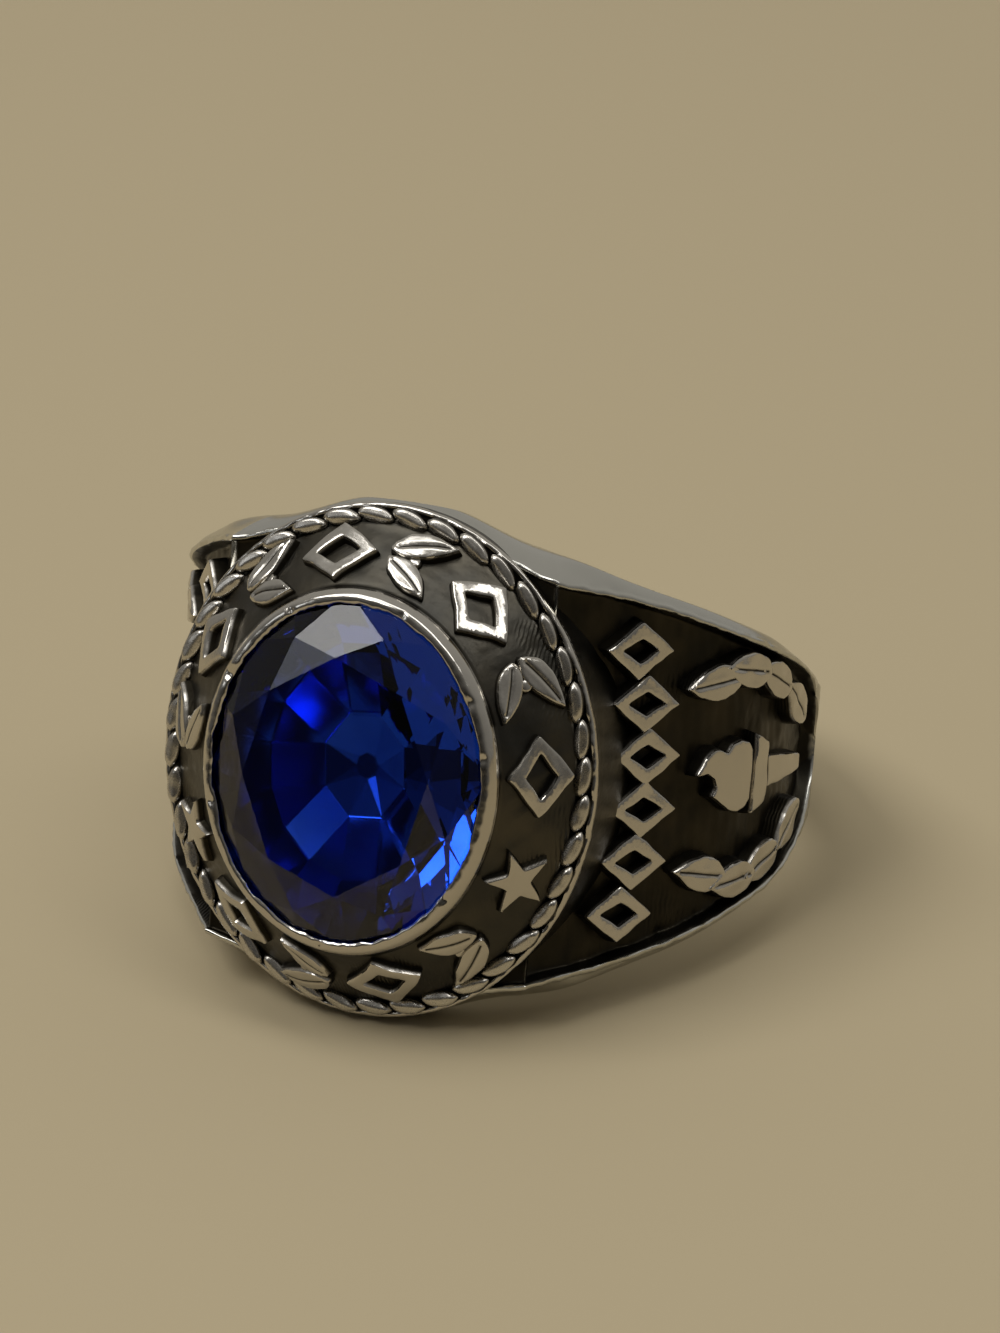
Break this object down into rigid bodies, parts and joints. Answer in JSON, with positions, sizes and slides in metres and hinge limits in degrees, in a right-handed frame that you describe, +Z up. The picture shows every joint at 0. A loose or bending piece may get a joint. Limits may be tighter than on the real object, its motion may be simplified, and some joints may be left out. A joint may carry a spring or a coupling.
{
  "type": "class ring",
  "caption": "Heavy signet-style finger ring with an oval faceted stone in a rolled bezel, a sloping relief band, a rope border and sunk relief panels on tapering shoulders.",
  "frame": {"origin": "middle of the lying ring's footprint, on the surface that it rests on", "axes": "-Y towards the stone, +X across the finger hole, +Z up; the finger hole leans 17.8 degrees from +Z towards +Y"},
  "size_m": [0.0226, 0.026, 0.0169],
  "materials": {
    "metal": "worn polished jeweller's alloy with dark oxidised recesses",
    "stone": "faceted deep blue synthetic stone"
  },
  "bodies": {
    "root": {"ring_body": "metal", "stone": "stone"}
  },
  "joints": []
}
